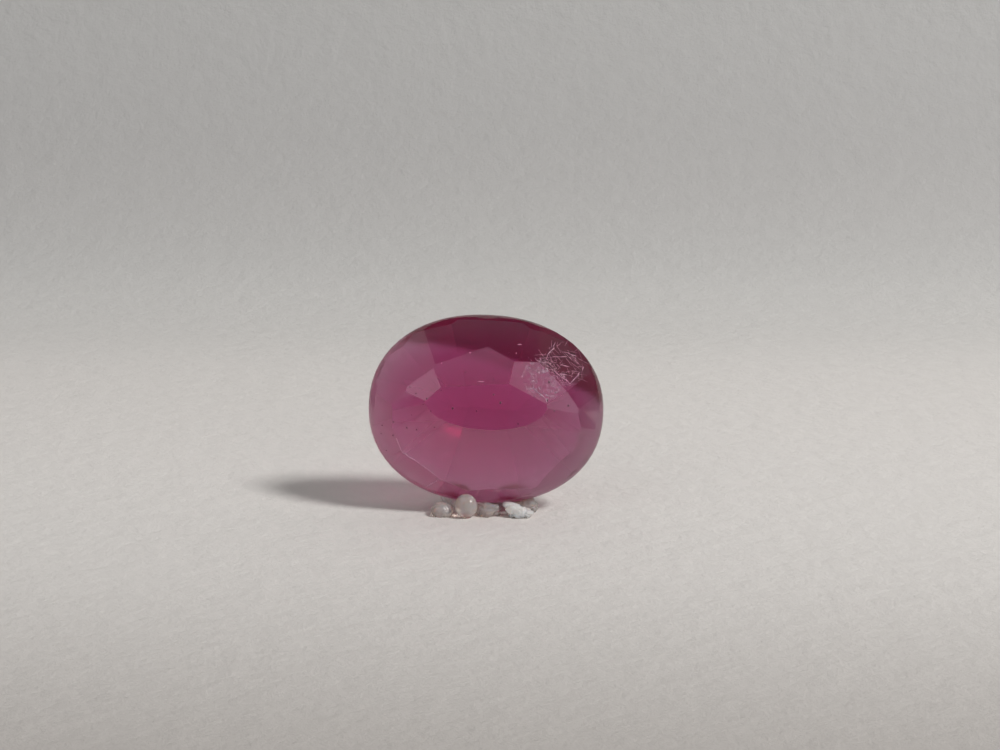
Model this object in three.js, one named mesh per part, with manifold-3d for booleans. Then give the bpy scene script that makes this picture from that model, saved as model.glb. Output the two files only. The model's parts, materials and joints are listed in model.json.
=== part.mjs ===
// A cut oval ruby, stood on its edge and leaning back, held by small dabs of clear gel.
// Millimetres, +Z up. The stone is cut with its table facing +Z and its long axis on X,
// then stood up so that the table faces -Y.
import * as THREE from 'three';
import { mergeVertices } from 'three/addons/utils/BufferGeometryUtils.js';
import Module from 'manifold-3d';

// Stone
const STONE_LENGTH = 8.0;
const STONE_WIDTH = 6.4;
const OVAL_POWER = 2.16; // 2 gives an ellipse, more gives squarer shoulders
const CROWN_HEIGHT = 1.25; // from the middle of the girdle to the table
const GIRDLE_HEIGHT = 0.36;
const GIRDLE_ROUNDING = 0.06; // share of the radius lost at ROUNDING_REACH above the girdle's middle
const ROUNDING_REACH = 0.4;
const PREFORM_DEPTH = 2.6; // blank left under the girdle before the pavilion is ground

// Table and inner crown, a shallow dome round the table
const INNER_TILT = 16; // degrees from the table
const TABLE_HALF_LENGTH = 2.03;
const TABLE_HALF_WIDTH = 0.85;
const TABLE_CENTRE_Y = 0.17;
const FAN_FIRST_TURN = -152; // the polished lower half of the dome, in narrow facets
const FAN_LAST_TURN = -22;
const FAN_STEP = 10;
// Flat facets of the inner crown: turn from the long axis, and distance of the table's edge
const INNER_FACETS = [
  { turn: 10, edge: 2.04 },
  { turn: 65, edge: 1.12 },
  { turn: 96, edge: 0.81 },
  { turn: 134, edge: 1.54 },
  { turn: 183, edge: 2.03 },
];

// Outer crown: turn from the long axis, and distance of each facet's upper edge from the stone's axis.
// A facet runs down to the top of the girdle, or to its own foot height.
const OUTER_FACETS = [
  { turn: 3, edge: 3.12 },
  { turn: 27, edge: 2.9 },
  { turn: 53, edge: 2.41, foot: 0.03 },
  { turn: 79, edge: 1.93 },
  { turn: 104, edge: 1.99 },
  { turn: 131, edge: 2.42 },
  { turn: 154, edge: 2.83 },
  { turn: 187, edge: 3.17 },
  { turn: 212, edge: 3.2 },
  { turn: 241, edge: 2.85 },
  { turn: 253, edge: 2.79 },
  { turn: 275, edge: 2.71 },
  { turn: 312, edge: 3.06 },
  { turn: 339, edge: 3.25 },
];

// Pavilion, the hidden back: a steep row at the girdle and a shallow row that meets in a keel
const PAVILION_ROWS = [
  { count: 16, tilt: 47, start: 0, inset: 0 },
  { count: 12, tilt: 29, start: 0, inset: 0.42 },
];

// Small chips on the girdle: turn, height above the girdle's middle, size
const CHIPS = [
  { turn: 206, height: 0.2, size: 0.16 },
  { turn: 211, height: 0.24, size: 0.1 },
  { turn: 38, height: 0.2, size: 0.14 },
  { turn: 66, height: -0.16, size: 0.12 },
];
const CHIP_DEPTH_SHARE = 0.3;

// Stance of the stone
const ROLL = -3.2; // degrees, the right end is lower
const LEAN_BACK = 12; // degrees
const SEAT_HEIGHT = 0.31; // lowest point of the stone above the surface

// Dabs of gel: centre, half sizes, turn about Z, lump strength and the phase of the lumps.
// X and Y are measured from the stone's centre.
const DABS = [
  { name: 'gel_bead', at: [-0.68, -1.3, 0.38], half: [0.4, 0.4, 0.42], turn: 20, lumps: 0.03, phase: 0.3 },
  { name: 'gel_dab_left', at: [-1.48, -1.1, 0.16], half: [0.42, 0.36, 0.31], turn: 10, lumps: 0.12, phase: 1.7 },
  { name: 'gel_dab_middle', at: [0.1, -1.06, 0.16], half: [0.46, 0.34, 0.33], turn: -8, lumps: 0.2, phase: 4.1 },
  { name: 'gel_dab_right', at: [1.14, -1.24, 0.14], half: [0.5, 0.36, 0.28], turn: -6, lumps: 0.16, phase: 2.6 },
  { name: 'gel_dab_right_rear', at: [1.24, -0.5, 0.18], half: [0.62, 0.36, 0.36], turn: 4, lumps: 0.14, phase: 0.9 },
  { name: 'gel_dab_back_left', at: [-0.95, 0.5, 0.4], half: [0.62, 0.72, 0.62], turn: 15, lumps: 0.12, phase: 3.3 },
  { name: 'gel_dab_back_right', at: [0.85, 0.55, 0.38], half: [0.66, 0.7, 0.6], turn: -12, lumps: 0.13, phase: 5.2 },
];
const DAB_TIP = { name: 'gel_dab_right', toward: [-0.62, -0.1, 0.78], rise: 0.75, sharpness: 9 };
const DAB_DETAIL = 3; // rows of triangles along each edge of the icosahedron, less one
const LUMP_WAVES = [
  { direction: [1.0, 0.4, 0.3], frequency: 0.9, share: 0.5 },
  { direction: [-0.5, 1.0, 0.2], frequency: 1.4, share: 0.3 },
  { direction: [0.3, -0.6, 1.0], frequency: 2.1, share: 0.2 },
];
const CLEARANCE = 0.02; // gap left between the stone and the gel that holds it

// Smoothness of curved forms
const GIRDLE_SEGMENTS = 72;
const GIRDLE_LEVELS = [-1, -0.75, -0.5, -0.25, 0, 0.25, 0.5, 0.75, 1];
const BLOCK = 40; // side of the block that grinds a flat facet

const RUBY = new THREE.MeshStandardMaterial({ color: 0x8c2d55, roughness: 0.08, metalness: 0 });
const GEL = new THREE.MeshStandardMaterial({ color: 0xcfc7c0, roughness: 0.3, metalness: 0 });

const wasm = await Module();
wasm.setup();

const radians = THREE.MathUtils.degToRad;

function solidOf(geometry) {
  const bare = geometry.clone();
  bare.deleteAttribute('normal');
  bare.deleteAttribute('uv');
  const merged = mergeVertices(bare, 1e-5);
  const mesh = new wasm.Mesh({
    numProp: 3,
    vertProperties: new Float32Array(merged.attributes.position.array),
    triVerts: new Uint32Array(merged.index.array),
  });
  mesh.merge();
  return new wasm.Manifold(mesh);
}

function geometryOf(solid) {
  const mesh = solid.getMesh();
  const geometry = new THREE.BufferGeometry();
  geometry.setAttribute('position', new THREE.BufferAttribute(new Float32Array(mesh.vertProperties), 3));
  geometry.setIndex(new THREE.BufferAttribute(new Uint32Array(mesh.triVerts), 1));
  geometry.computeVertexNormals();
  return geometry;
}

// Direction in the girdle's plane at a turn from the long axis
function outward(turn) {
  return new THREE.Vector2(Math.cos(radians(turn)), Math.sin(radians(turn)));
}

// Distance from the axis to the line that touches the oval at a turn
function ovalReach(turn) {
  const conjugate = OVAL_POWER / (OVAL_POWER - 1);
  const direction = outward(turn);
  const along = (STONE_LENGTH / 2 * Math.abs(direction.x)) ** conjugate;
  const across = (STONE_WIDTH / 2 * Math.abs(direction.y)) ** conjugate;
  return (along + across) ** (1 / conjugate);
}

// Distance from the axis to the oval itself in a direction of the girdle's plane
function ovalRadius(direction) {
  const along = (Math.abs(direction.x) / (STONE_LENGTH / 2)) ** OVAL_POWER;
  const across = (Math.abs(direction.y) / (STONE_WIDTH / 2)) ** OVAL_POWER;
  return (along + across) ** (-1 / OVAL_POWER);
}

// The oval blank, with its side rounded like a barrel where the girdle stays
function preform() {
  const profile = [new THREE.Vector2(0, -PREFORM_DEPTH), new THREE.Vector2(1 - GIRDLE_ROUNDING, -PREFORM_DEPTH)];
  for (const level of GIRDLE_LEVELS) {
    profile.push(new THREE.Vector2(1 - GIRDLE_ROUNDING * level ** 2, ROUNDING_REACH * level));
  }
  profile.push(new THREE.Vector2(1 - GIRDLE_ROUNDING, CROWN_HEIGHT));
  profile.push(new THREE.Vector2(0, CROWN_HEIGHT));
  const blank = new THREE.LatheGeometry(profile, GIRDLE_SEGMENTS).rotateX(Math.PI / 2);
  const places = blank.attributes.position;
  for (let i = 0; i < places.count; i += 1) {
    const place = new THREE.Vector2(places.getX(i), places.getY(i));
    const share = place.length();
    if (share > 0) {
      place.setLength(share * ovalRadius(place.clone().normalize()));
    }
    places.setXY(i, place.x, place.y);
  }
  return solidOf(blank);
}

// A block whose lower face lies on the facet: tilted from the table towards a turn, through a point
// that is a distance out from the axis and a height above the girdle's middle
function lap(turn, tilt, distance, height) {
  const side = outward(turn);
  const slope = radians(tilt);
  const normal = new THREE.Vector3(side.x * Math.sin(slope), side.y * Math.sin(slope), Math.cos(slope));
  const point = new THREE.Vector3(side.x * distance, side.y * distance, height);
  const block = new THREE.BoxGeometry(BLOCK, BLOCK, BLOCK).translate(0, 0, BLOCK / 2);
  const up = new THREE.Vector3(0, 0, 1);
  block.applyQuaternion(new THREE.Quaternion().setFromUnitVectors(up, normal));
  block.translate(point.x, point.y, point.z);
  return solidOf(block);
}

// Facets of the inner crown, the flat ones and the fan that follows the table's rounded lower edge
function innerFacets() {
  const facets = [...INNER_FACETS];
  for (let turn = FAN_FIRST_TURN; turn <= FAN_LAST_TURN; turn += FAN_STEP) {
    const side = outward(turn);
    const edge = TABLE_CENTRE_Y * side.y + Math.hypot(TABLE_HALF_LENGTH * side.x, TABLE_HALF_WIDTH * side.y);
    facets.push({ turn, edge });
  }
  return facets;
}

// Height of the inner crown above a point, the lowest of its facet planes there
function innerHeight(point) {
  const fall = Math.tan(radians(INNER_TILT));
  const heights = innerFacets().map(({ turn, edge }) => CROWN_HEIGHT - fall * (point.dot(outward(turn)) - edge));
  return Math.min(CROWN_HEIGHT, ...heights);
}

function grindCrown(stone) {
  let cut = stone;
  for (const { turn, edge } of innerFacets()) {
    cut = cut.subtract(lap(turn, INNER_TILT, edge, CROWN_HEIGHT));
  }
  for (const { turn, edge, foot = GIRDLE_HEIGHT / 2 } of OUTER_FACETS) {
    const reach = ovalReach(turn);
    const drop = innerHeight(outward(turn).multiplyScalar(edge)) - foot;
    const tilt = THREE.MathUtils.radToDeg(Math.atan2(drop, reach - edge));
    cut = cut.subtract(lap(turn, tilt, reach, foot));
  }
  return cut;
}

function grindPavilion(stone) {
  let cut = stone;
  for (const { count, tilt, start, inset } of PAVILION_ROWS) {
    const steep = Math.tan(radians(PAVILION_ROWS[0].tilt));
    for (let i = 0; i < count; i += 1) {
      const turn = start + (360 / count) * i;
      const height = -GIRDLE_HEIGHT / 2 - inset * steep;
      cut = cut.subtract(lap(turn, 180 - tilt, ovalReach(turn) - inset, height));
    }
  }
  return cut;
}

function nickGirdle(stone) {
  let cut = stone;
  for (const { turn, height, size } of CHIPS) {
    const side = outward(turn);
    const distance = ovalRadius(side) + size * (1 - CHIP_DEPTH_SHARE);
    const chip = new THREE.IcosahedronGeometry(size, 0).rotateZ(radians(turn));
    chip.translate(side.x * distance, side.y * distance, height);
    cut = cut.subtract(solidOf(chip));
  }
  return cut;
}

// Stands the stone on its edge, leaning back, with its lowest point at the seat height
function standUp(geometry) {
  const stance = new THREE.Euler(radians(90 - LEAN_BACK), 0, radians(ROLL));
  const stood = geometry.clone().applyMatrix4(new THREE.Matrix4().makeRotationFromEuler(stance));
  stood.computeBoundingBox();
  return stood.translate(0, 0, SEAT_HEIGHT - stood.boundingBox.min.z);
}

// The stone, grown about its centre by the clearance, as it is cut out of the gel
function grownStone(stoneGeometry) {
  stoneGeometry.computeBoundingBox();
  const centre = stoneGeometry.boundingBox.getCenter(new THREE.Vector3());
  const growth = 1 + (2 * CLEARANCE) / STONE_WIDTH;
  const grown = stoneGeometry.clone().translate(-centre.x, -centre.y, -centre.z);
  grown.scale(growth, growth, growth).translate(centre.x, centre.y, centre.z);
  return solidOf(grown);
}

// Radius of a dab in a direction, against a plain ball
function dabRadius(dab, direction) {
  let radius = 1;
  for (const wave of LUMP_WAVES) {
    const across = direction.dot(new THREE.Vector3(...wave.direction));
    radius += dab.lumps * wave.share * Math.sin(wave.frequency * across * Math.PI + dab.phase * wave.frequency);
  }
  if (dab.name === DAB_TIP.name) {
    const nearness = direction.dot(new THREE.Vector3(...DAB_TIP.toward).normalize());
    radius += DAB_TIP.rise * Math.exp(DAB_TIP.sharpness * (nearness - 1));
  }
  return radius;
}

// A lumpy dab, pressed flat on the surface and against the stone
function dabSolid(dab, seat) {
  const ball = new THREE.IcosahedronGeometry(1, DAB_DETAIL);
  const places = ball.attributes.position;
  for (let i = 0; i < places.count; i += 1) {
    const direction = new THREE.Vector3().fromBufferAttribute(places, i).normalize();
    const place = direction.clone().multiplyScalar(dabRadius(dab, direction));
    places.setXYZ(i, place.x, place.y, place.z);
  }
  ball.scale(...dab.half).rotateZ(radians(dab.turn)).translate(...dab.at);
  const under = new THREE.BoxGeometry(BLOCK, BLOCK, BLOCK).translate(0, 0, -BLOCK / 2);
  return solidOf(ball).subtract(solidOf(under)).subtract(seat);
}

function named(name, geometry, material) {
  const mesh = new THREE.Mesh(geometry, material);
  mesh.name = name;
  return mesh;
}

const stoneGeometry = standUp(geometryOf(nickGirdle(grindPavilion(grindCrown(preform())))));
const seat = grownStone(stoneGeometry);

const group = new THREE.Group();
group.add(named('ruby', stoneGeometry, RUBY));
for (const dab of DABS) {
  group.add(named(dab.name, geometryOf(dabSolid(dab, seat)), GEL));
}

// The origin is the middle of the footprint of the whole part
const footprint = new THREE.Box3().setFromObject(group).getCenter(new THREE.Vector3());
for (const piece of group.children) {
  piece.position.set(-footprint.x, -footprint.y, 0);
}

export default group;
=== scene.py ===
"""A cut oval ruby that stands on its edge in small dabs of clear gel. Metres, +Z up."""
import json
import math

import bmesh
import bpy
from mathutils import Matrix, Vector, noise
from mathutils.bvhtree import BVHTree


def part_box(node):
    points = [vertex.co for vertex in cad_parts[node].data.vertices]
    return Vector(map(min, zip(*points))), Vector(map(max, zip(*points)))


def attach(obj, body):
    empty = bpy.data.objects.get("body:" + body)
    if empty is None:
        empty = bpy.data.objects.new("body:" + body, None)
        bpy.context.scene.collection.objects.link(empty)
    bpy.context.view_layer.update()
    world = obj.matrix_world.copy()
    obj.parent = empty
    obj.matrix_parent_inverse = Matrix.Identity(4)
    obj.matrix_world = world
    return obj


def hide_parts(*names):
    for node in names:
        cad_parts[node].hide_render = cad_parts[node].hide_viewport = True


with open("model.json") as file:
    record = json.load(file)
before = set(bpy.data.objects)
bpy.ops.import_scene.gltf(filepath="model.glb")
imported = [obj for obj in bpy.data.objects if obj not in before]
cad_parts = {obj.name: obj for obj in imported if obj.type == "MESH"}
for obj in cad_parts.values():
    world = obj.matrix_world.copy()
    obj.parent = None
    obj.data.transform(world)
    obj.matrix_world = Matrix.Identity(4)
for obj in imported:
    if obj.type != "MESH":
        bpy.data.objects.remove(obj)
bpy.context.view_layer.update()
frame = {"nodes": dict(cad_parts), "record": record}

MM = 0.001

# The stone's own axes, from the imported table: FACING points out of the table, towards the viewer
STONE_LOW, STONE_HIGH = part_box("ruby")
STONE_CENTRE = (STONE_LOW + STONE_HIGH) / 2
TABLE = next(mount for mount in frame["record"]["mounts"] if mount["name"] == "table")
FACING = Vector(TABLE["axis"]).normalized()
RIGHT = Vector((1, 0, 0))
UP = FACING.cross(RIGHT)
STONE_MESH = frame["nodes"]["ruby"].data
STONE_SKIN = BVHTree.FromPolygons(
    [vert.co for vert in STONE_MESH.vertices], [face.vertices for face in STONE_MESH.polygons])

# Stone: wear of its edges
FACET_EDGE_WEAR = 0.01 * MM
WORN_EDGE_LENGTH = 0.3 * MM  # shorter edges stay as cut
WORN_EDGE_ANGLE = math.radians(22)  # flatter edges stay as cut
CROWN_FACING = 0.3  # cosine of the steepest crown facet's angle to the viewer
FACET_ANGLE = math.radians(7)  # the least angle between two facets
FLAT_ANGLE = math.radians(0.5)
NEARLY_FLAT_ANGLE = 3 * FLAT_ANGLE
MERGE = 0.002 * MM
SLIVER = 0.06 * MM

# Stone: colour and finish
RUBY_IOR = 1.77
ABSORPTION_PER_MM = (0.14, 0.82, 0.38)  # red, green and blue light lost in a millimetre of the stone
DENSITY_MARGIN = 1.02  # keeps every colour of the absorption above black
TINT_ZONE = 1.6 * MM
GLOSS_COAT = 0.35
CROWN_ROUGHNESS, BACK_ROUGHNESS = 0.09, 0.75
BACK_FACING = 0.25  # faces turned this far from the viewer belong to the lapped, unpolished back
POLISHED_WAY = (0.3, 0.95)  # across and up: the back keeps more polish towards its top
POLISHED_FROM, POLISHED_TO = 0.95 * MM, 1.35 * MM
POLISHED_SHARE = 0.42
ABRADED_SPOT = (1.9, 1.0)  # on the abraded facet, in millimetres across and up from the stone's centre
SAME_FACET = 0.9995  # cosine of the angle between two faces of one facet
SCUFF_SIZE = 0.16 * MM
SCUFF_SPREAD = (0.36, 0.62)  # the noise from unscuffed to fully scuffed
SCUFF_ROUGHNESS = (0.22, 0.75)

# Scratches on the crown, each a line of points in millimetres across and up from the stone's centre
DEEP_SCRATCHES = (
    ((2.37, 2.19), (2.28, 2.06), (2.31, 1.97), (2.17, 1.88), (2.08, 1.74), (2.03, 1.61)),
    ((1.69, 1.58), (1.76, 1.53), (1.95, 1.48), (2.01, 1.42), (2.13, 1.35), (2.22, 1.29)),
    ((2.22, 1.29), (2.35, 1.16), (2.54, 0.99), (2.74, 0.88), (2.83, 0.77)),
    ((2.83, 0.77), (2.91, 0.86), (3.07, 1.02), (3.16, 1.16)),
    ((3.15, 1.35), (3.31, 1.34), (3.26, 1.22)),
    ((2.24, 1.69), (2.42, 1.68), (2.74, 1.69)),
    ((2.6, 1.86), (2.76, 1.83), (2.87, 1.77), (3.1, 1.7)),
    ((2.51, 1.43), (2.67, 1.38), (2.83, 1.34)),
    ((2.38, 1.43), (2.44, 1.38)),
    ((1.74, 1.15), (1.88, 1.23), (1.95, 1.28)),
    ((1.85, 1.18), (1.99, 1.16)),
    ((2.6, 1.1), (2.76, 1.06)),
    ((1.9, 0.47), (2.06, 0.38), (2.17, 0.34), (2.28, 0.37)),
    ((2.13, 0.52), (2.28, 0.54)),
    ((2.26, 0.46), (2.42, 0.52)),
    ((1.47, 0.58), (1.58, 0.63), (1.72, 0.5), (1.9, 0.38), (2.03, 0.25), (2.03, 0.13)),
    ((1.56, 0.84), (1.63, 0.9)),
    ((1.06, 2.1), (1.22, 2.1)),
    ((-0.57, 1.82), (-0.49, 1.82)),
    ((-0.29, 0.85), (-0.05, 0.85)),
    ((0.18, 0.85), (0.22, 0.85)),
    ((-1.49, 1.44), (-1.49, 1.5)),
    ((0.79, 0.87), (0.83, 0.87)),
    ((0.74, 1.82), (0.79, 1.82)),
    ((1.02, 1.84), (1.02, 1.77)),
    ((1.19, 1.67), (1.22, 1.67)),
    ((1.4, 1.66), (1.45, 1.65)),
    ((-2.85, -1.48), (-2.62, -1.67), (-2.41, -1.79), (-2.1, -2.01), (-1.83, -2.21), (-1.62, -2.4)),
    ((-1.57, -2.45), (-1.75, -2.55), (-2.06, -2.73)),
    ((1.85, -2.28), (1.92, -2.33)),
    ((1.66, -2.47), (1.72, -2.53)),
)
SCRATCH_WIDTH = 0.03 * MM
SCRATCH_STEP = 0.03 * MM
SCRATCH_JAG, SCRATCH_JAG_SIZE = 0.03 * MM, 0.08 * MM
SCRATCH_SIDES = 5
SWELL_SIZE = 0.09 * MM  # how far apart a scratch swells along its length
SWELL_SPREAD = (0.35, 0.65)
SWELL_WIDTH = (0.45, 1.2)  # share of the width
LEAST_WIDTH = 0.1
IN_FRONT = 3 * MM  # how far before the stone's centre marks are drawn, to be laid on the crown from there

# Fine scratches: the middle in millimetres across and up, reach, density, length and width of each web
WEBS = {
    "worn_corner_web": ((2.6, 1.45), 0.85 * MM, 34 / MM**2, 0.6 * MM, 0.009 * MM),
    "abraded_facet_web": ((1.95, 0.95), 0.75 * MM, 260 / MM**2, 0.14 * MM, 0.012 * MM),
}
WEB_FACING = 0.4  # cosine of the steepest angle to the viewer of a face with fine scratches
WEB_JAG, WEB_JAG_SIZE = 0.008 * MM, 0.1 * MM
WEB_POINTS = 7
WEB_SHORTEST = 0.25  # share of the length
WEB_SEED = 7

# Dark specks that reach the crown's surface, in millimetres across and up from the stone's centre
SPECKS = (
    (-3.5, -0.63), (-3.54, -0.91), (-3.12, -0.96), (-3.37, -1.48), (-3.11, -0.5), (-2.55, 0.67),
    (-2.34, 0.45), (-2.1, 0.09), (-1.98, 0.28), (-1.84, -0.14), (-1.72, -0.68), (-1.11, -0.05),
    (0.26, 0.92), (0.49, 0.14), (-0.31, -0.14), (-2.49, -0.27), (-2.65, -0.7), (2.12, 0.83),
    (2.33, 0.48), (2.06, 0.22), (2.76, 0.04), (2.29, -0.14), (0.26, 0.41), (1.08, -0.57),
    (-0.69, 1.16), (-2.32, -0.76), (-1.5, 0.55), (-0.9, 0.7),
)
SPECK_RADIUS = 0.045 * MM
SPECK_LEAST, SPECK_MOST = (0.3, 0.3, 0.3), (0.9, 1.0, 0.4)  # share of the radius each way
SPECK_SEED = 3

# Gel: how crumpled each dab is, as the depth of the creases between its lumps
CREASE_DEPTH = {
    "gel_bead": 0.01 * MM,
    "gel_dab_left": 0.04 * MM,
    "gel_dab_middle": 0.12 * MM,
    "gel_dab_right": 0.1 * MM,
    "gel_dab_right_rear": 0.1 * MM,
    "gel_dab_back_left": 0.03 * MM,
    "gel_dab_back_right": 0.03 * MM,
}
LUMP_SIZE = 0.3 * MM
CREASE_WIDTH = 0.4  # share of a lump
CREASE_SHARE, GRAIN_SHARE = 0.75, 0.25
GRAINS_PER_LUMP = 3
GRAIN_FRACTAL = (0.8, 2.0, 3)  # dimension, lacunarity and octaves
GEL_VOXEL = 0.022  # millimetres
RELAX_STEPS = 6
FOOT_HEIGHT = 0.02 * MM
CLEAR_DABS = ("gel_bead", "gel_dab_left", "gel_dab_middle", "gel_dab_right_rear")
GEL_IOR = 1.36
GEL_GLOSS = (0.05, 0.2)
CLEAR_GEL = (0.66, "#ffe2d4")  # share of the light let through, and the body's colour
CLOUDY_GEL = (0.12, "#ffeae0")

# View: the stone's length in the picture sets how far the camera stands
PICTURE_WIDTH_PX = 1000
STONE_LENGTH_PX = 234
PIXEL = (STONE_HIGH.x - STONE_LOW.x) / STONE_LENGTH_PX
AIM_RIGHT_PX, AIM_UP_PX = 13.9, 31.3  # the picture's middle, from the stone's centre
LENS = 85
SENSOR = 36
LIGHT_BOUNCES = 24  # enough for light to cross the stone many times

# Stage
FLOOR_FRONT, FLOOR_SIDE = -0.25, 0.3
WALL_DISTANCE, WALL_HEIGHT, SWEEP_RADIUS = 0.055, 0.25, 0.025
SWEEP_STEPS = 16
# Painted shade on the paper is darkest from its front edge up to this depth
PAINTED_SHADE_FRONT = -0.03
# The paper's tones from its front to the wall: painted shade greys the front, and the tone darkens again up
# the sweep to the wall
PAPER_AND_SHADE_TONES = {
    0: "#b2ada9", 0.25: "#e4e1de", 0.6: "#eae7e4", 0.79: "#d6d5d3", 0.9: "#c2c1c0", 1: "#c6c6c5",
}
FIBRE_SIZE = 1.0 * MM

# Lights
KEY_TURN, KEY_RISE, KEY_DISTANCE = math.radians(-30), math.radians(46), 0.35
KEY_SIZE, KEY_POWER, KEY_COLOUR = 0.08, 0.8, (1, 0.98, 0.96)
# Pale cards round the stage, each with its turn from +X and rise in degrees, size and radiance
CARD_DISTANCE = 0.2
CARDS = {
    "left_card": (-152, 35, 0.24, 0.3),
    "near_left_card": (-124, 33, 0.12, 0.42),
    "low_right_card": (-57, 14, 0.1, 0.5),
    "high_card": (-90, 47, 0.1, 0.2),
}
SKY_HORIZON, SKY_TOP, SKY_TOP_AT = 0.25, 0.04, 0.5

scene = bpy.context.scene


def linear(hex_colour):
    """An sRGB hex value as linear red, green, blue and alpha."""
    parts = [int(hex_colour[i:i + 2], 16) / 255 for i in (1, 3, 5)]
    return (*[p / 12.92 if p <= 0.04045 else ((p + 0.055) / 1.055) ** 2.4 for p in parts], 1)


def add_node(tree, kind, inputs=(), **settings):
    """Adds a node with its settings. Each input is a value or another node's output."""
    node = tree.nodes.new(kind)
    for name, value in settings.items():
        setattr(node, name, value)
    for socket, value in dict(inputs).items():
        if isinstance(value, bpy.types.NodeSocket):
            tree.links.new(value, node.inputs[socket])
        else:
            node.inputs[socket].default_value = value
    return node


def noise_share(tree, place, size, detail, roughness=0.5):
    """A noise from 0 to 1 whose largest features have the given size."""
    return add_node(tree, "ShaderNodeTexNoise", {
        "Vector": place, "Scale": 1 / size, "Detail": detail, "Roughness": roughness}).outputs["Fac"]


def mapped(tree, value, given, wanted, **settings):
    """A value moved from the given range to the wanted one."""
    return add_node(tree, "ShaderNodeMapRange", {
        "Value": value, "From Min": given[0], "From Max": given[1], "To Min": wanted[0], "To Max": wanted[1],
    }, **settings).outputs[0]


def two_tones(tree, share, low, high, stops=(0, 1)):
    """A colour that goes from one sRGB hex value to another as the share rises."""
    ramp = add_node(tree, "ShaderNodeValToRGB", {"Fac": share})
    for index, (stop, tone) in enumerate(zip(stops, (low, high))):
        ramp.color_ramp.elements[index].position = stop
        ramp.color_ramp.elements[index].color = linear(tone)
    return ramp.outputs["Color"]


def new_material(name):
    """An empty material, its node tree, and coordinates in metres that stay with the object."""
    material = bpy.data.materials.new(name)
    material.use_nodes = True
    tree = material.node_tree
    tree.nodes.clear()
    return material, tree, add_node(tree, "ShaderNodeTexCoord").outputs["Object"]


def crown_point(across, up):
    """A point in front of the crown, from millimetres across and up from the stone's centre."""
    return STONE_CENTRE + RIGHT * (across * MM) + UP * (up * MM) + FACING * IN_FRONT


def crown_spot(across, up):
    """The point of the crown behind crown_point, and the crown's normal there."""
    place, normal, _, _ = STONE_SKIN.ray_cast(crown_point(across, up), -FACING)
    return place, normal


def ruby_roughness(tree, place):
    """A polished crown with scuffs on one facet, and a satin back that keeps more polish towards its top."""
    satin = add_node(tree, "ShaderNodeAttribute", attribute_name="satin").outputs["Fac"]
    abraded = add_node(tree, "ShaderNodeAttribute", attribute_name="abraded").outputs["Fac"]
    centred = add_node(tree, "ShaderNodeVectorMath", {0: place, 1: STONE_CENTRE}, operation="SUBTRACT")
    way = RIGHT * POLISHED_WAY[0] + UP * POLISHED_WAY[1]
    along = add_node(tree, "ShaderNodeVectorMath", {0: centred.outputs[0], 1: way}, operation="DOT_PRODUCT")
    dulled = mapped(
        tree, along.outputs["Value"], (POLISHED_FROM, POLISHED_TO), (1, POLISHED_SHARE),
        interpolation_type="SMOOTHSTEP")
    lapped = add_node(tree, "ShaderNodeMath", {0: satin, 1: dulled}, operation="MULTIPLY")
    finish = mapped(tree, lapped.outputs[0], (0, 1), (CROWN_ROUGHNESS, BACK_ROUGHNESS))
    scuffs = noise_share(tree, place, SCUFF_SIZE, 5, 0.7)
    scuffed = mapped(tree, scuffs, SCUFF_SPREAD, SCUFF_ROUGHNESS)
    return add_node(tree, "ShaderNodeMath", {
        0: abraded, 1: scuffed, 2: finish}, operation="MULTIPLY_ADD", use_clamp=True).outputs[0]


def ruby_body(tree):
    """The light that is lost on its way through the stone."""
    density = max(ABSORPTION_PER_MM) / MM * DENSITY_MARGIN
    kept = [1 - loss / MM / density for loss in ABSORPTION_PER_MM]
    return add_node(tree, "ShaderNodeVolumeAbsorption", {"Color": (*kept, 1), "Density": density}).outputs[0]


def polished_ruby():
    """Corundum, cut and polished: a clear magenta red body under a hard gloss. The crown is polished, with
    one abraded facet that scatters a pale haze. The back is left satin from the lap, which blurs what lies
    behind."""
    material, tree, place = new_material("polished_ruby")
    zones = noise_share(tree, place, TINT_ZONE, 3)
    shader = add_node(tree, "ShaderNodeBsdfPrincipled", {
        "Base Color": two_tones(tree, zones, "#faeef4", "#ffffff"), "Roughness": ruby_roughness(tree, place),
        "IOR": RUBY_IOR, "Transmission Weight": 1,
        "Coat Weight": GLOSS_COAT, "Coat Roughness": CROWN_ROUGHNESS, "Coat IOR": RUBY_IOR})
    add_node(tree, "ShaderNodeOutputMaterial", {"Surface": shader.outputs[0], "Volume": ruby_body(tree)})
    return material


def crushed_corundum():
    """Ruby crushed to powder in a scratch: pale pink and matt, so that it shows as a light line."""
    material, tree, place = new_material("crushed_corundum")
    grit = noise_share(tree, place, 0.1 * MM, 3)
    shader = add_node(tree, "ShaderNodeBsdfPrincipled", {
        "Base Color": two_tones(tree, grit, "#9a7090", "#e4cad8", (0.35, 0.65)),
        "Roughness": 0.6, "IOR": RUBY_IOR})
    add_node(tree, "ShaderNodeOutputMaterial", {"Surface": shader.outputs[0]})
    return material


def dark_inclusion():
    """Rutile and iron stain where an inclusion meets the surface: dull, dark red brown."""
    material, tree, place = new_material("dark_inclusion")
    stain = noise_share(tree, place, 0.3 * MM, 2)
    shader = add_node(tree, "ShaderNodeBsdfPrincipled", {
        "Base Color": two_tones(tree, stain, "#220a14", "#5a1e38"), "Roughness": 0.45, "IOR": 2.0})
    add_node(tree, "ShaderNodeOutputMaterial", {"Surface": shader.outputs[0]})
    return material


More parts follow.
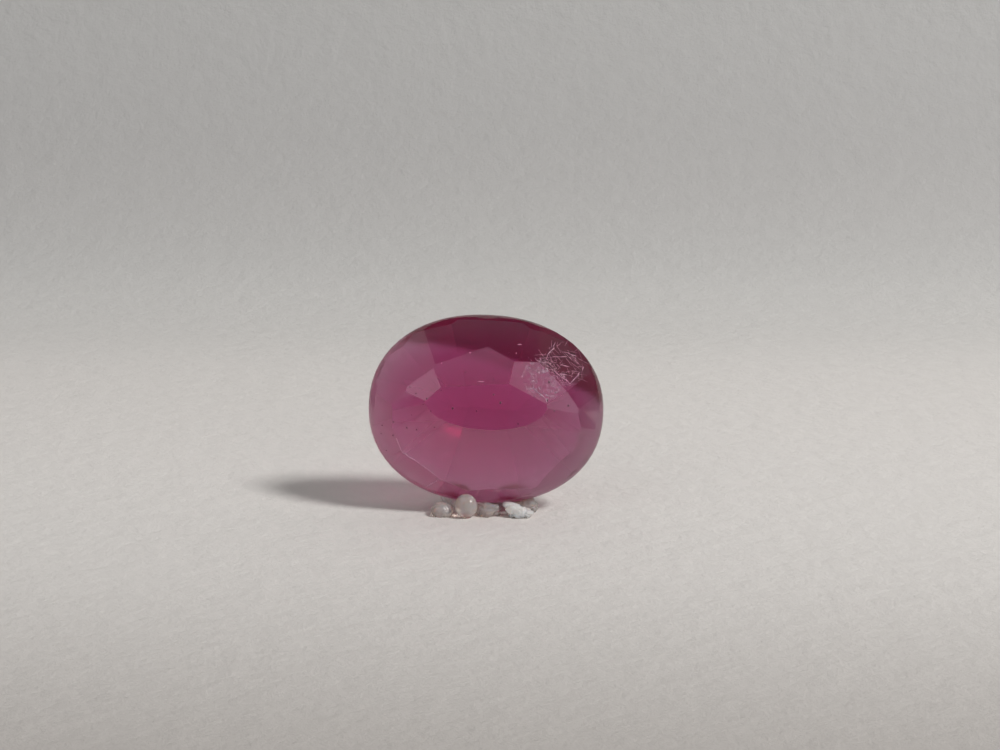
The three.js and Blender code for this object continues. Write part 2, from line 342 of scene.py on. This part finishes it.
def holding_gel(name, clearness, body):
    """Soft water gel: clear to cloudy, a wet gloss with shallow dents from handling."""
    material, tree, place = new_material(name)
    cloud = noise_share(tree, place, 0.35 * MM, 4, 0.6)
    dents = noise_share(tree, place, 0.14 * MM, 3)
    bump = add_node(tree, "ShaderNodeBump", {"Strength": 0.3, "Distance": 0.02 * MM, "Height": dents})
    shader = add_node(tree, "ShaderNodeBsdfPrincipled", {
        "Base Color": two_tones(tree, cloud, body, "#fffaf6", (0.3, 0.7)),
        "Roughness": mapped(tree, cloud, (0, 1), GEL_GLOSS), "IOR": GEL_IOR, "Transmission Weight": clearness,
        "Subsurface Weight": 1, "Subsurface Radius": (1, 0.9, 0.8), "Subsurface Scale": 1.0 * MM,
        "Normal": bump.outputs[0]})
    add_node(tree, "ShaderNodeOutputMaterial", {"Surface": shader.outputs[0]})
    return material


def paper_and_shade_tones(tree, place):
    """The paper's colour, with painted shade that greys it towards its front edge, and a darker tone up the
    sweep to the wall.
    """
    depth = add_node(tree, "ShaderNodeSeparateXYZ", {0: place}).outputs["Y"]
    # The ramp runs from the painted shade at the front, over the paper's own white, to the darker wall
    reach = mapped(tree, depth, (PAINTED_SHADE_FRONT, WALL_DISTANCE), (0, 1))
    sheet = add_node(tree, "ShaderNodeValToRGB", {"Fac": reach})
    sheet.color_ramp.interpolation = "CARDINAL"
    stops = sheet.color_ramp.elements
    for at, tone in PAPER_AND_SHADE_TONES.items():
        stop = {0: stops[0], 1: stops[-1]}.get(at) or stops.new(at)
        stop.color = linear(tone)
    return sheet.outputs["Color"]


def matt_paper():
    """Uncoated white paper: matt, with a faint mottle of fibres, painted shade that greys its front, and a
    darker tone up the sweep to the wall.
    """
    material, tree, place = new_material("matt_paper")
    mottle = noise_share(tree, place, FIBRE_SIZE, 6, 0.65)
    shade = mapped(tree, mottle, (0.25, 0.75), (0.96, 1.0))
    tone = add_node(tree, "ShaderNodeVectorMath", {
        0: paper_and_shade_tones(tree, place), "Scale": shade}, operation="SCALE")
    fibres = add_node(tree, "ShaderNodeBump", {"Strength": 0.6, "Distance": 0.2 * MM, "Height": mottle})
    shader = add_node(tree, "ShaderNodeBsdfPrincipled", {
        "Base Color": tone.outputs[0], "Roughness": 0.85, "Normal": fibres.outputs[0]})
    add_node(tree, "ShaderNodeOutputMaterial", {"Surface": shader.outputs[0]})
    return material


def add_piece(name, mesh, replaced=()):
    """Puts a finished mesh in the scene, riding on the part's one body."""
    piece = bpy.data.objects.new(name, mesh)
    scene.collection.objects.link(piece)
    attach(piece, "root")
    if replaced:
        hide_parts(*replaced)
    return piece


def merged_copy(node):
    """The mesh of a CAD node with its loose triangles joined."""
    shape = bmesh.new()
    shape.from_mesh(frame["nodes"][node].data)
    bmesh.ops.remove_doubles(shape, verts=shape.verts, dist=MERGE)
    return shape


def with_modifiers(mesh, *modifiers):
    """The mesh after the modifiers, each given by its kind and settings."""
    holder = bpy.data.objects.new(mesh.name + "_source", mesh)
    scene.collection.objects.link(holder)
    for kind, settings in modifiers:
        modifier = holder.modifiers.new(kind.lower(), kind)
        for setting, value in settings.items():
            setattr(modifier, setting, value)
    changed = bpy.data.meshes.new_from_object(holder.evaluated_get(bpy.context.evaluated_depsgraph_get()))
    bpy.data.objects.remove(holder)
    return changed


def worn_shape():
    """The stone's mesh with slivers closed and the longer edges of its crown rounded a little by wear."""
    shape = merged_copy("ruby")
    bmesh.ops.dissolve_limit(shape, angle_limit=FLAT_ANGLE, verts=shape.verts, edges=shape.edges)
    bmesh.ops.remove_doubles(shape, verts=shape.verts, dist=SLIVER)
    bmesh.ops.dissolve_limit(shape, angle_limit=NEARLY_FLAT_ANGLE, verts=shape.verts, edges=shape.edges)
    ridges = [
        edge for edge in shape.edges
        if edge.calc_face_angle(0) > WORN_EDGE_ANGLE and edge.calc_length() > WORN_EDGE_LENGTH
        and any(face.normal.dot(FACING) > CROWN_FACING for face in edge.link_faces)
    ]
    bmesh.ops.bevel(shape, geom=ridges, offset=FACET_EDGE_WEAR, segments=2, profile=0.5, affect="EDGES")
    bmesh.ops.remove_doubles(shape, verts=shape.verts, dist=MERGE)
    bmesh.ops.dissolve_degenerate(shape, edges=shape.edges, dist=MERGE)
    mesh = bpy.data.meshes.new("ruby_stone")
    shape.to_mesh(mesh)
    shape.free()
    return mesh


def mark_finish(mesh):
    """Marks the satin faces of the back and the faces of the abraded facet, for the material."""
    _, worn_way = crown_spot(*ABRADED_SPOT)
    satin = mesh.attributes.new("satin", "FLOAT", "FACE")
    abraded = mesh.attributes.new("abraded", "FLOAT", "FACE")
    for face in mesh.polygons:
        satin.data[face.index].value = float(face.normal.dot(-FACING) > BACK_FACING)
        abraded.data[face.index].value = float(face.normal.dot(worn_way) > SAME_FACET)


def worn_stone(material):
    """The stone, in one piece, with its facets flat and its edges sharp or worn."""
    mesh = worn_shape()
    mesh.materials.append(material)
    mesh.shade_smooth()
    mesh.set_sharp_from_angle(angle=FACET_ANGLE)
    mark_finish(mesh)
    return add_piece("ruby_stone", mesh, ["ruby"])


def new_tree(name, inputs):
    """A Geometry Nodes tree with a geometry input and the named inputs, and its inputs' sockets."""
    tree = bpy.data.node_groups.new(name, "GeometryNodeTree")
    tree.interface.new_socket("Geometry", in_out="INPUT", socket_type="NodeSocketGeometry")
    for label, kind in inputs.items():
        tree.interface.new_socket(label, in_out="INPUT", socket_type=kind)
    tree.interface.new_socket("Geometry", in_out="OUTPUT", socket_type="NodeSocketGeometry")
    return tree, add_node(tree, "NodeGroupInput").outputs


def finish_tree(tree, geometry, material):
    """Gives the tree's geometry its material and hands it out."""
    whole = add_node(tree, "GeometryNodeRealizeInstances", {"Geometry": geometry})
    dressed = add_node(tree, "GeometryNodeSetMaterial", {"Geometry": whole.outputs[0], "Material": material})
    add_node(tree, "NodeGroupOutput", {"Geometry": dressed.outputs[0]})


def grown_mesh(name, tree, source, values):
    """Runs a Geometry Nodes tree on a source mesh and keeps the result as a plain mesh."""
    holder = bpy.data.objects.new(name + "_source", source)
    scene.collection.objects.link(holder)
    modifier = holder.modifiers.new("grow", "NODES")
    modifier.node_group = tree
    for item in tree.interface.items_tree:
        if item.name in values:
            modifier[item.identifier] = values[item.name]
    ready = holder.evaluated_get(bpy.context.evaluated_depsgraph_get())
    mesh = bpy.data.meshes.new_from_object(ready)
    mesh.name = name
    bpy.data.objects.remove(holder)
    return mesh


def swept_line(tree, curves, width):
    """Curves made into slivers that taper at both ends and swell and thin along the way."""
    along = add_node(tree, "GeometryNodeSplineParameter").outputs["Factor"]
    turn = add_node(tree, "ShaderNodeMath", {0: along, 1: math.pi}, operation="MULTIPLY")
    hump = add_node(tree, "ShaderNodeMath", {0: turn.outputs[0]}, operation="SINE")
    taper = add_node(tree, "ShaderNodeMath", {0: hump.outputs[0], 1: 0.5}, operation="POWER")
    here = add_node(tree, "GeometryNodeInputPosition").outputs[0]
    swell = mapped(tree, noise_share(tree, here, SWELL_SIZE, 2), SWELL_SPREAD, SWELL_WIDTH)
    scale = add_node(tree, "ShaderNodeMath", {0: swell, 1: taper.outputs[0]}, operation="MULTIPLY")
    least = add_node(tree, "ShaderNodeMath", {0: scale.outputs[0], 1: LEAST_WIDTH}, operation="MAXIMUM")
    half = add_node(tree, "ShaderNodeMath", {0: width, 1: 0.5}, operation="MULTIPLY")
    profile = add_node(tree, "GeometryNodeCurvePrimitiveCircle", {
        "Resolution": SCRATCH_SIDES, "Radius": half.outputs[0]})
    return add_node(tree, "GeometryNodeCurveToMesh", {
        "Curve": curves, "Profile Curve": profile.outputs[0], "Scale": least.outputs[0],
        "Fill Caps": True}).outputs[0]


def jagged(tree, curves, amount, size):
    """Curves shaken sideways by a noise of the given size."""
    here = add_node(tree, "GeometryNodeInputPosition").outputs[0]
    shake = add_node(tree, "ShaderNodeTexNoise", {"Vector": here, "Scale": 1 / size, "Detail": 2})
    middle = add_node(tree, "ShaderNodeVectorMath", {
        0: shake.outputs["Color"], 1: (0.5, 0.5, 0.5)}, operation="SUBTRACT")
    offset = add_node(tree, "ShaderNodeVectorMath", {
        0: middle.outputs[0], "Scale": amount}, operation="SCALE")
    return add_node(tree, "GeometryNodeSetPosition", {
        "Geometry": curves, "Offset": offset.outputs[0]}).outputs[0]


def laid_on_crown(tree, marks, stone):
    """Marks drawn in front of the crown, moved back onto it."""
    target = add_node(tree, "GeometryNodeObjectInfo", {"Object": stone})
    landing = add_node(tree, "GeometryNodeRaycast", {
        "Target Geometry": target.outputs["Geometry"], "Ray Direction": -FACING, "Ray Length": 2 * IN_FRONT})
    return add_node(tree, "GeometryNodeSetPosition", {
        "Geometry": marks, "Position": landing.outputs["Hit Position"],
        "Selection": landing.outputs["Is Hit"]}).outputs[0]


def scratch_lines():
    """The deep scratches as plain edges in front of the crown."""
    drawing = bmesh.new()
    for line in DEEP_SCRATCHES:
        points = [drawing.verts.new(crown_point(*place)) for place in line]
        for start, end in zip(points, points[1:]):
            drawing.edges.new((start, end))
    mesh = bpy.data.meshes.new("scratch_lines")
    drawing.to_mesh(mesh)
    drawing.free()
    return mesh


def deep_scratches(stone, material):
    """The scratches that show as bright lines, drawn before the crown and laid on it."""
    tree, given = new_tree("deep_scratches", {
        "Stone": "NodeSocketObject", "Step": "NodeSocketFloat", "Jag": "NodeSocketFloat",
        "Width": "NodeSocketFloat"})
    lines = add_node(tree, "GeometryNodeMeshToCurve", {"Mesh": given["Geometry"]})
    fine = add_node(tree, "GeometryNodeResampleCurve", {
        "Curve": lines.outputs[0], "Length": given["Step"]}, mode="LENGTH")
    rough = jagged(tree, fine.outputs[0], given["Jag"], SCRATCH_JAG_SIZE)
    laid = laid_on_crown(tree, rough, given["Stone"])
    finish_tree(tree, swept_line(tree, laid, given["Width"]), material)
    mesh = grown_mesh("deep_scratches", tree, scratch_lines(), {
        "Stone": stone, "Step": SCRATCH_STEP, "Jag": SCRATCH_JAG, "Width": SCRATCH_WIDTH})
    return add_piece("deep_scratches", mesh)


def near_point(tree, centre, reach):
    """A selection of what lies within reach of a point."""
    here = add_node(tree, "GeometryNodeInputPosition").outputs[0]
    away = add_node(tree, "ShaderNodeVectorMath", {0: here, 1: centre}, operation="DISTANCE")
    return add_node(tree, "FunctionNodeCompare", {
        "A": away.outputs["Value"], "B": reach}, operation="LESS_THAN").outputs[0]


def facing_viewer(tree):
    """A selection of the crown's faces."""
    normal = add_node(tree, "GeometryNodeInputNormal").outputs[0]
    turned = add_node(tree, "ShaderNodeVectorMath", {0: normal, 1: FACING}, operation="DOT_PRODUCT")
    return add_node(tree, "FunctionNodeCompare", {
        "A": turned.outputs["Value"], "B": WEB_FACING}, operation="GREATER_THAN").outputs[0]


def strewn_lines(tree, given):
    """Straight lines strewn flat on the crown near the web's centre, each with its own turn and length."""
    starts = add_node(tree, "GeometryNodeDistributePointsOnFaces", {
        "Mesh": given["Geometry"], "Selection": facing_viewer(tree), "Density": given["Density"],
        "Seed": given["Seed"]})
    turn = add_node(tree, "FunctionNodeRandomValue", {2: 0.0, 3: math.pi, "Seed": given["Seed"]})
    spin = add_node(tree, "FunctionNodeAxisAngleToRotation", {"Angle": turn.outputs[1]})
    lay = add_node(tree, "FunctionNodeRotateRotation", {
        "Rotation": starts.outputs["Rotation"], "Rotate By": spin.outputs[0]}, rotation_space="LOCAL")
    share = add_node(tree, "FunctionNodeRandomValue", {2: WEB_SHORTEST, 3: 1.0, "Seed": given["Seed"]})
    sized = add_node(tree, "ShaderNodeMath", {0: share.outputs[1], 1: given["Length"]}, operation="MULTIPLY")
    line = add_node(tree, "GeometryNodeCurvePrimitiveLine", {"Start": (-0.5, 0, 0), "End": (0.5, 0, 0)})
    strewn = add_node(tree, "GeometryNodeInstanceOnPoints", {
        "Points": starts.outputs["Points"], "Selection": near_point(tree, given["Centre"], given["Reach"]),
        "Instance": line.outputs[0], "Rotation": lay.outputs[0], "Scale": sized.outputs[0]})
    return add_node(tree, "GeometryNodeRealizeInstances", {"Geometry": strewn.outputs[0]}).outputs[0]


def scratch_web(name, stone, material, middle, reach, density, length, width):
    """Short fine scratches that cross each other on the crown."""
    tree, given = new_tree(name, {
        "Centre": "NodeSocketVector", "Reach": "NodeSocketFloat", "Density": "NodeSocketFloat",
        "Length": "NodeSocketFloat", "Width": "NodeSocketFloat", "Seed": "NodeSocketInt"})
    fine = add_node(tree, "GeometryNodeResampleCurve", {
        "Curve": strewn_lines(tree, given), "Count": WEB_POINTS})
    rough = jagged(tree, fine.outputs[0], WEB_JAG, WEB_JAG_SIZE)
    nearest = add_node(tree, "GeometryNodeProximity", {"Geometry": given["Geometry"]})
    laid = add_node(tree, "GeometryNodeSetPosition", {
        "Geometry": rough, "Position": nearest.outputs["Position"]})
    finish_tree(tree, swept_line(tree, laid.outputs[0], given["Width"]), material)
    mesh = grown_mesh(name, tree, stone.data.copy(), {
        "Centre": crown_spot(*middle)[0], "Reach": reach, "Density": density, "Length": length,
        "Width": width, "Seed": WEB_SEED})
    return add_piece(name, mesh)


def crown_specks(stone, material):
    """Small dark inclusions that break the crown's surface."""
    tree, given = new_tree("crown_specks", {
        "Stone": "NodeSocketObject", "Radius": "NodeSocketFloat", "Seed": "NodeSocketInt"})
    points = add_node(tree, "GeometryNodeMeshToPoints", {"Mesh": given["Geometry"]})
    laid = laid_on_crown(tree, points.outputs[0], given["Stone"])
    lie = add_node(tree, "FunctionNodeAlignRotationToVector", {"Vector": FACING}, axis="Z")
    speck = add_node(tree, "GeometryNodeMeshIcoSphere", {"Radius": given["Radius"], "Subdivisions": 2})
    size = add_node(tree, "FunctionNodeRandomValue", {
        0: SPECK_LEAST, 1: SPECK_MOST, "Seed": given["Seed"]}, data_type="FLOAT_VECTOR")
    specks = add_node(tree, "GeometryNodeInstanceOnPoints", {
        "Points": laid, "Instance": speck.outputs["Mesh"], "Rotation": lie.outputs[0],
        "Scale": size.outputs[0]})
    finish_tree(tree, specks.outputs[0], material)

    source = bpy.data.meshes.new("speck_places")
    source.from_pydata([crown_point(*place) for place in SPECKS], [], [])
    mesh = grown_mesh("crown_specks", tree, source, {
        "Stone": stone, "Radius": SPECK_RADIUS, "Seed": SPECK_SEED})
    return add_piece("crown_specks", mesh)


def smoothed_solid(node):
    """A CAD solid with its facets remeshed and relaxed, worked in millimetres for the fine voxels."""
    shape = merged_copy(node)
    bmesh.ops.scale(shape, vec=(1 / MM,) * 3, verts=shape.verts)
    mesh = bpy.data.meshes.new(node)
    shape.to_mesh(mesh)
    shape.free()
    return with_modifiers(
        mesh, ("REMESH", {"mode": "VOXEL", "voxel_size": GEL_VOXEL}), ("SMOOTH", {"iterations": RELAX_STEPS}))


def sunk_share(place):
    """How far a point of the gel sinks, from 0 to 1: most in the creases between lumps."""
    swell = noise.noise(place / LUMP_SIZE)
    crease = max(0, 1 - abs(swell) / CREASE_WIDTH) ** 2
    grain = 0.5 + 0.5 * noise.fractal(place / LUMP_SIZE * GRAINS_PER_LUMP, *GRAIN_FRACTAL)
    return CREASE_SHARE * crease + GRAIN_SHARE * min(max(grain, 0), 1)


def gel_dab(node, material):
    """A dab of gel, smoothed and creased into lumps, with its foot kept flat on the paper."""
    mesh = smoothed_solid(node)
    mesh.name = node + "_soft"
    mesh.transform(Matrix.Scale(MM, 4))
    normals = [vert.normal.copy() for vert in mesh.vertices]
    for vert, normal in zip(mesh.vertices, normals):
        vert.co -= normal * CREASE_DEPTH[node] * sunk_share(vert.co)
        if vert.co.z < FOOT_HEIGHT:
            vert.co.z = 0
    mesh.materials.clear()
    mesh.materials.append(material)
    mesh.shade_smooth()
    return add_piece(node + "_soft", mesh, [node])


def paper_sweep(material):
    """The paper floor, curved up into the wall behind."""
    profile = [(FLOOR_FRONT, 0.0)]
    for step in range(SWEEP_STEPS + 1):
        angle = math.pi / 2 * step / SWEEP_STEPS
        depth = WALL_DISTANCE - SWEEP_RADIUS * (1 - math.sin(angle))
        profile.append((depth, SWEEP_RADIUS * (1 - math.cos(angle))))
    profile.append((WALL_DISTANCE, WALL_HEIGHT))
    corners = [(side, y, z) for y, z in profile for side in (-FLOOR_SIDE, FLOOR_SIDE)]
    faces = [(2 * i, 2 * i + 1, 2 * i + 3, 2 * i + 2) for i in range(len(profile) - 1)]
    mesh = bpy.data.meshes.new("paper_sweep")
    mesh.from_pydata(corners, [], faces)
    mesh.materials.append(material)
    mesh.shade_smooth()
    sweep = bpy.data.objects.new("paper_sweep", mesh)
    scene.collection.objects.link(sweep)


def disk_light(name, turn, rise, distance, size, power, colour=(1, 1, 1)):
    """A round soft light aimed at the stone, at a turn from +X and a rise above the floor."""
    level = Vector((math.cos(turn), math.sin(turn), 0)) * math.cos(rise)
    place = (level + Vector((0, 0, math.sin(rise)))) * distance
    light = bpy.data.lights.new(name, "AREA")
    light.shape = "DISK"
    light.size = size
    light.energy = power
    light.color = colour
    lamp = bpy.data.objects.new(name, light)
    scene.collection.objects.link(lamp)
    lamp.location = place
    lamp.rotation_euler = (STONE_CENTRE - place).to_track_quat("-Z", "Y").to_euler()


def dim_room():
    """A grey sky that darkens upwards."""
    sky = bpy.data.worlds.new("dim_room")
    scene.world = sky
    sky.use_nodes = True
    tree = sky.node_tree
    direction = add_node(tree, "ShaderNodeTexCoord").outputs["Generated"]
    height = add_node(tree, "ShaderNodeSeparateXYZ", {0: direction}).outputs["Z"]
    glow = mapped(tree, height, (0, SKY_TOP_AT), (SKY_HORIZON, SKY_TOP))
    tree.links.new(glow, tree.nodes["Background"].inputs["Color"])


def light_stage():
    """A small key from the front right, pale cards and a dim room."""
    disk_light("key", KEY_TURN, KEY_RISE, KEY_DISTANCE, KEY_SIZE, KEY_POWER, KEY_COLOUR)
    for name, (turn, rise, size, radiance) in CARDS.items():
        power = radiance * (math.pi * size / 2) ** 2
        disk_light(name, math.radians(turn), math.radians(rise), CARD_DISTANCE, size, power)
    dim_room()


def place_camera():
    """The camera looks straight at the table, from where the stone has its size in the picture."""
    lens = bpy.data.cameras.new("camera")
    lens.lens = LENS
    lens.sensor_width = SENSOR
    lens.clip_start = MM
    camera = bpy.data.objects.new("camera", lens)
    scene.collection.objects.link(camera)
    aim = STONE_CENTRE + RIGHT * (AIM_RIGHT_PX * PIXEL) + UP * (AIM_UP_PX * PIXEL)
    camera.location = aim + FACING * (PICTURE_WIDTH_PX * PIXEL * LENS / SENSOR)
    camera.rotation_euler = FACING.to_track_quat("Z", "Y").to_euler()
    scene.camera = camera


stone = worn_stone(polished_ruby())
crushed = crushed_corundum()
deep_scratches(stone, crushed)
for web, shape in WEBS.items():
    scratch_web(web, stone, crushed, *shape)
crown_specks(stone, dark_inclusion())
clear_gel = holding_gel("clear_gel", *CLEAR_GEL)
cloudy_gel = holding_gel("cloudy_gel", *CLOUDY_GEL)
for dab in CREASE_DEPTH:
    gel_dab(dab, clear_gel if dab in CLEAR_DABS else cloudy_gel)
paper_sweep(matt_paper())
light_stage()
place_camera()

scene.view_settings.view_transform = "Standard"
scene.cycles.max_bounces = LIGHT_BOUNCES
scene.cycles.transmission_bounces = LIGHT_BOUNCES
